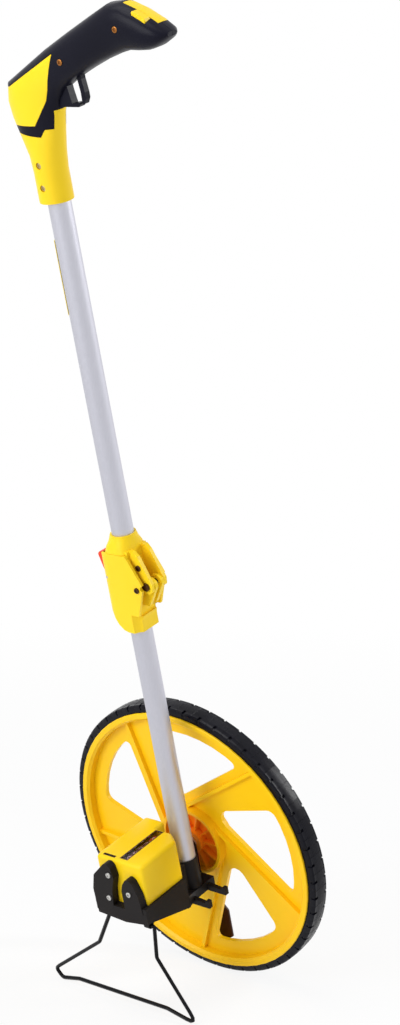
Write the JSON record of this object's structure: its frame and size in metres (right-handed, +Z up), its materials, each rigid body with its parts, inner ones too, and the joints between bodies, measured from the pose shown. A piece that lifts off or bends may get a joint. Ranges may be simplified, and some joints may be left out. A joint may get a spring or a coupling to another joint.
{
  "type": "measuring wheel",
  "caption": "Distance measuring wheel with a folding two-part mast, pistol grip handle with brake trigger, mechanical counter and bent wire parking stand.",
  "frame": {"origin": "middle of the bounding box at its bottom, on the ground under the parked wheel", "axes": "+Z up; +X to the side of the wheel that the grip points to; -Y to the side of the counter and the stand; the device leans 14.5 degrees towards -Y"},
  "size_m": [0.3452, 0.3266, 1.0057],
  "materials": {
    "tyre": "matte rubber",
    "rubber": "matte",
    "yellow_plastic": "satin moulded",
    "black_plastic": "satin moulded",
    "brown_plastic": "satin",
    "ivory_plastic": "satin",
    "red_plastic": "satin moulded",
    "window": "clear",
    "label": "printed film",
    "aluminium": "satin drawn tube",
    "steel": "zinc plated",
    "brass": "turned",
    "black_wire": "black lacquer"
  },
  "bodies": {
    "frame": {"base_bracket": "black_plastic", "axle_bush_plate": "brass", "axle_bush_counter": "brass", "counter_cover": "yellow_plastic", "counter_base": "yellow_plastic", "counter_window": "window", "counter_frame": "steel", "idler_pin": "steel", "case_screw_upper": "steel", "case_screw_lower": "steel", "case_screw_right": "steel", "lower_tube": "aluminium", "joint_lower": "yellow_plastic", "fold_pin": "steel", "cheek_screw": "steel", "button_pin": "steel", "button_spring": "steel"},
    "wheel": {"tyre": "tyre", "wheel_disc": "yellow_plastic", "axle": "steel", "axle_spacer": "steel", "axle_washer": "steel", "axle_nut": "steel", "drive_gear": "ivory_plastic"},
    "pointer": {"pointer": "brown_plastic"},
    "idler": {"idler_gear": "ivory_plastic"},
    "drum_1": {"counter_gear": "ivory_plastic", "drum_shaft": "steel", "number_drum_1": "red_plastic"},
    "drum_2": {"number_drum_2": "ivory_plastic"},
    "drum_3": {"number_drum_3": "ivory_plastic"},
    "drum_4": {"number_drum_4": "ivory_plastic"},
    "drum_5": {"number_drum_5": "ivory_plastic"},
    "stand": {"stand_wire": "black_wire"},
    "mast": {"upper_tube": "aluminium", "joint_upper": "yellow_plastic", "tube_label": "label", "ear_screw": "steel", "handle_neck": "yellow_plastic", "grip_shell_left": "black_plastic", "grip_shell_right": "black_plastic", "side_panel_left": "yellow_plastic", "side_panel_right": "yellow_plastic", "top_plate": "yellow_plastic", "trigger_guard": "black_plastic", "trigger_pin": "steel", "trigger_spring": "steel", "grip_screw_lower": "brass", "grip_screw_upper": "brass", "neck_screw_lower": "steel", "neck_screw_upper": "steel"},
    "release": {"release_button": "red_plastic"},
    "trigger": {"trigger": "black_plastic"},
    "brake": {"brake_shoe": "rubber"},
    "thumb": {"thumb_button": "yellow_plastic"},
    "reset": {"reset_slider": "black_plastic"}
  },
  "joints": [
    {"name": "wheel_spin", "type": "hinge", "parent": "frame", "child": "wheel", "pos_m": [-0.01343, 0.10309, 0.1531], "axis": [0, 0.9681, 0.2504], "continuous": true},
    {"name": "pointer_swing", "type": "hinge", "parent": "frame", "child": "pointer", "pos_m": [-0.01343, 0.10309, 0.1531], "axis": [0, 0.9681, 0.2504], "continuous": true},
    {"name": "idler_spin", "type": "hinge", "parent": "frame", "child": "idler", "pos_m": [-0.00818, 0.09906, 0.16869], "axis": [0, 0.9681, 0.2504], "continuous": true},
    {"name": "drum_1_spin", "type": "hinge", "parent": "frame", "child": "drum_1", "pos_m": [-0.00293, 0.09502, 0.18428], "axis": [0, 0.9681, 0.2504], "continuous": true},
    {"name": "drum_2_spin", "type": "hinge", "parent": "frame", "child": "drum_2", "pos_m": [-0.00293, 0.09502, 0.18428], "axis": [0, 0.9681, 0.2504], "continuous": true},
    {"name": "drum_3_spin", "type": "hinge", "parent": "frame", "child": "drum_3", "pos_m": [-0.00293, 0.09502, 0.18428], "axis": [0, 0.9681, 0.2504], "continuous": true},
    {"name": "drum_4_spin", "type": "hinge", "parent": "frame", "child": "drum_4", "pos_m": [-0.00293, 0.09502, 0.18428], "axis": [0, 0.9681, 0.2504], "continuous": true},
    {"name": "drum_5_spin", "type": "hinge", "parent": "frame", "child": "drum_5", "pos_m": [-0.00293, 0.09502, 0.18428], "axis": [0, 0.9681, 0.2504], "continuous": true},
    {"name": "stand_fold", "type": "hinge", "parent": "frame", "child": "stand", "pos_m": [-0.01343, -0.00643, 0.10289], "axis": [-1, 0, 0], "range_deg": [0, 85]},
    {"name": "mast_fold", "type": "hinge", "parent": "frame", "child": "mast", "pos_m": [0.03257, 0.02184, 0.46727], "axis": [0, 0.9681, 0.2504], "range_deg": [0, 180]},
    {"name": "release_press", "type": "hinge", "parent": "frame", "child": "release", "pos_m": [-0.01303, -0.01052, 0.46458], "axis": [0, 0.9681, 0.2504], "range_deg": [0, 9], "stiffness_Nm_per_rad": 0.2, "springref_deg": -5.73},
    {"name": "trigger_pull", "type": "hinge", "parent": "mast", "child": "trigger", "pos_m": [0.05877, -0.13646, 0.95156], "axis": [0, -0.9681, -0.2504], "range_deg": [0, 7], "stiffness_Nm_per_rad": 0.5, "springref_deg": -11.46},
    {"name": "brake_slide", "type": "slide", "parent": "frame", "child": "brake", "axis": [0, 0.9681, 0.2504], "range_m": [0, 0.0016]},
    {"name": "thumb_press", "type": "slide", "parent": "mast", "child": "thumb", "axis": [-0.184, 0.2461, -0.9516], "range_m": [0, 0.002], "stiffness_N_per_m": 400, "springref_m": -0.002},
    {"name": "reset_slide", "type": "slide", "parent": "frame", "child": "reset", "axis": [1, 0, 0], "range_m": [-0.002, 0.002]}
  ],
  "couplings": [
    {"joint": "idler_spin", "follows": "wheel_spin", "ratio": -1.5},
    {"joint": "drum_1_spin", "follows": "wheel_spin", "ratio": 1},
    {"joint": "drum_2_spin", "follows": "wheel_spin", "ratio": 0.1},
    {"joint": "drum_3_spin", "follows": "wheel_spin", "ratio": 0.01},
    {"joint": "drum_4_spin", "follows": "wheel_spin", "ratio": 0.001},
    {"joint": "drum_5_spin", "follows": "wheel_spin", "ratio": 0.0001},
    {"joint": "brake_slide", "follows": "trigger_pull", "m_per_rad": 0.01309}
  ]
}
